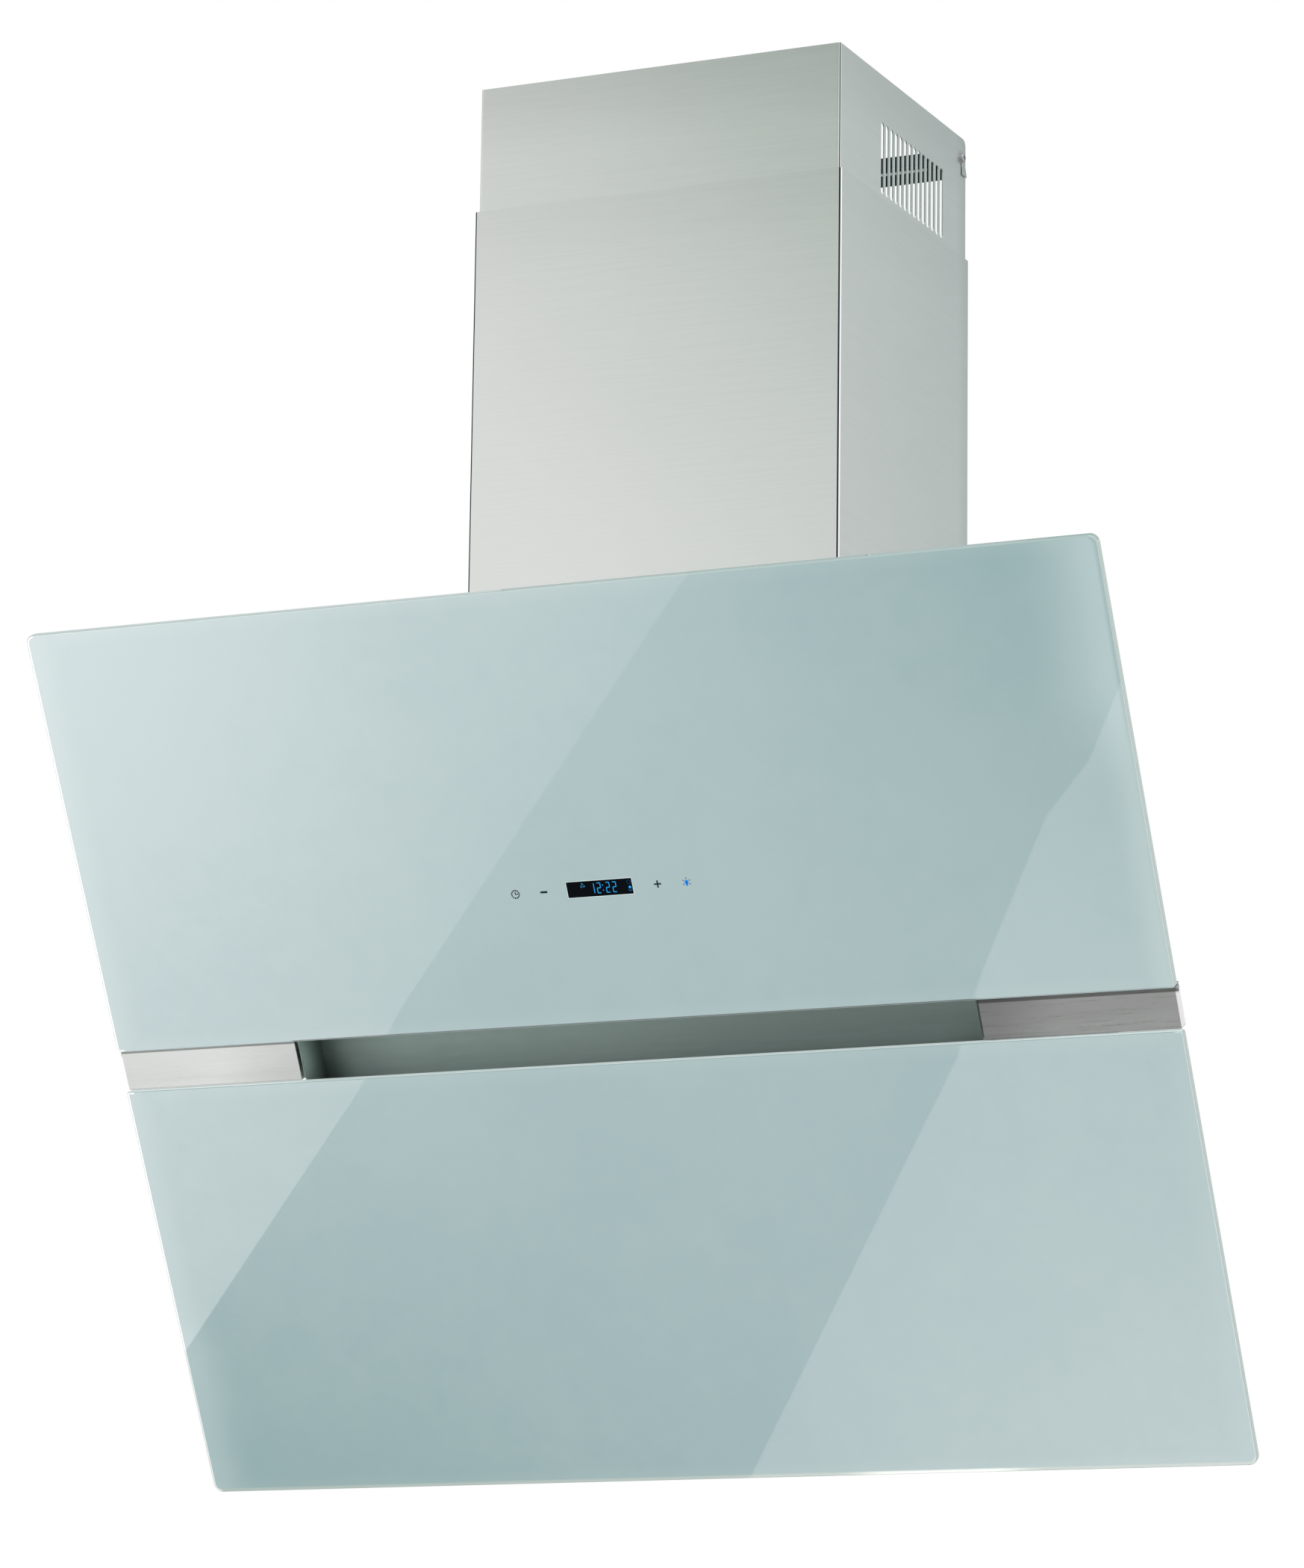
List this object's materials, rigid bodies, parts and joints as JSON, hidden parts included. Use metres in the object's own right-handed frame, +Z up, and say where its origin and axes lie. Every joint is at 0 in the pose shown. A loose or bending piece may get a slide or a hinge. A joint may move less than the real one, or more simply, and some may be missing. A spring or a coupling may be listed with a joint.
{
  "type": "angled wall range hood",
  "caption": "Wall-mounted range hood with an inclined glass front, a slim intake slot, touch controls and a telescopic steel chimney.",
  "frame": {"origin": "centre of the four wall fixing holes, in the wall plane at the back of the body", "axes": "+X to the right along the wall as seen from the front, +Y into the wall, +Z up along the chimney"},
  "size_m": [0.898, 0.4777, 1.1222],
  "materials": {
    "upper_glass": "back-painted float glass, polished face and edges",
    "lower_glass": "back-painted float glass, polished face and edges",
    "chimney_steel": "fine horizontal brushing",
    "trim_steel": "fine horizontal brushing",
    "slot_steel": "fine horizontal brushing",
    "body_steel": "grey powder coat",
    "zinc_steel": "zinc plated sheet",
    "screw_steel": "bright nickel plate",
    "bracket_steel": "black electrocoat",
    "filter_frame": "satin rolled aluminium",
    "filter_mesh": "expanded mesh",
    "latch_plastic": "fine grain",
    "housing_plastic": "fine grain",
    "blower_plastic": "glass-filled, dull",
    "impeller_plastic": "dull",
    "spigot_plastic": "dull",
    "circuit_board": "green solder mask",
    "display_glass": "black, polished",
    "spring_steel": "bright wire",
    "motor_steel": "satin lacquer",
    "capacitor_case": "gloss",
    "lamp_body": "satin",
    "lamp_lens": "opal",
    "magnet": "black ferrite",
    "felt": "pressed felt"
  },
  "bodies": {
    "canopy": {"upper_glass": "upper_glass", "glass_rails": "zinc_steel", "left_side_panel": "body_steel", "right_side_panel": "body_steel", "roof_panel": "body_steel", "floor_panel": "body_steel", "back_plate": "zinc_steel", "front_plate": "body_steel", "cabinet_screws": "screw_steel", "slot_liner": "slot_steel", "left_trim": "trim_steel", "right_trim": "trim_steel", "trim_brackets": "zinc_steel", "control_housing": "housing_plastic", "touch_board": "circuit_board", "display_module": "display_glass", "touch_springs": "spring_steel", "filter_shelf": "zinc_steel", "left_filter_frame": "filter_frame", "right_filter_frame": "filter_frame", "left_filter_mesh": "filter_mesh", "right_filter_mesh": "filter_mesh", "hinge_brackets": "zinc_steel", "door_magnets": "magnet", "left_blower_housing": "blower_plastic", "right_blower_housing": "blower_plastic", "motor": "motor_steel", "motor_bracket": "zinc_steel", "outlet_spigot": "spigot_plastic", "duct_screws": "screw_steel", "flap_pin": "screw_steel", "wiring_box": "housing_plastic", "wiring_cover": "zinc_steel", "control_board": "circuit_board", "motor_capacitor": "capacitor_case", "lamp_driver": "housing_plastic", "cable_gland": "spigot_plastic", "lamp_housings": "lamp_body", "lamp_lenses": "lamp_lens", "lower_chimney": "chimney_steel", "lower_bracket": "zinc_steel", "lower_side_screws": "screw_steel"},
    "door": {"lower_glass": "lower_glass", "door_frame": "zinc_steel", "hinge_pins": "screw_steel"},
    "fan": {"impeller": "impeller_plastic", "motor_shaft": "screw_steel"},
    "rear_flap": {"rear_flap": "spigot_plastic"},
    "front_flap": {"front_flap": "spigot_plastic"},
    "chimney_top": {"upper_chimney": "chimney_steel", "upper_bracket": "bracket_steel", "upper_side_screws": "screw_steel", "guide_pads": "felt"},
    "left_latch": {"left_filter_latch": "latch_plastic"},
    "right_latch": {"right_filter_latch": "latch_plastic"}
  },
  "joints": [
    {"name": "door_hinge", "type": "hinge", "parent": "canopy", "child": "door", "pos_m": [0, -0.12074, -0.28753], "axis": [1, 0, 0], "range_deg": [0, 90]},
    {"name": "chimney_slide", "type": "slide", "parent": "canopy", "child": "chimney_top", "axis": [0, 0, 1], "range_m": [-0.075, 0.28]},
    {"name": "fan_spin", "type": "hinge", "parent": "canopy", "child": "fan", "pos_m": [0, -0.2025, 0.165], "axis": [1, 0, 0], "continuous": true},
    {"name": "rear_flap_hinge", "type": "hinge", "parent": "canopy", "child": "rear_flap", "pos_m": [0, -0.1375, 0.3], "axis": [1, 0, 0], "range_deg": [0, 75]},
    {"name": "front_flap_hinge", "type": "hinge", "parent": "canopy", "child": "front_flap", "pos_m": [0, -0.1375, 0.3], "axis": [-1, 0, 0], "range_deg": [0, 75]},
    {"name": "left_latch_slide", "type": "slide", "parent": "canopy", "child": "left_latch", "axis": [0, 0.4802, -0.8771], "range_m": [0, 0.006], "stiffness_N_per_m": 400, "springref_m": -0.004},
    {"name": "right_latch_slide", "type": "slide", "parent": "canopy", "child": "right_latch", "axis": [0, 0.4802, -0.8771], "range_m": [0, 0.006], "stiffness_N_per_m": 400, "springref_m": -0.004}
  ]
}
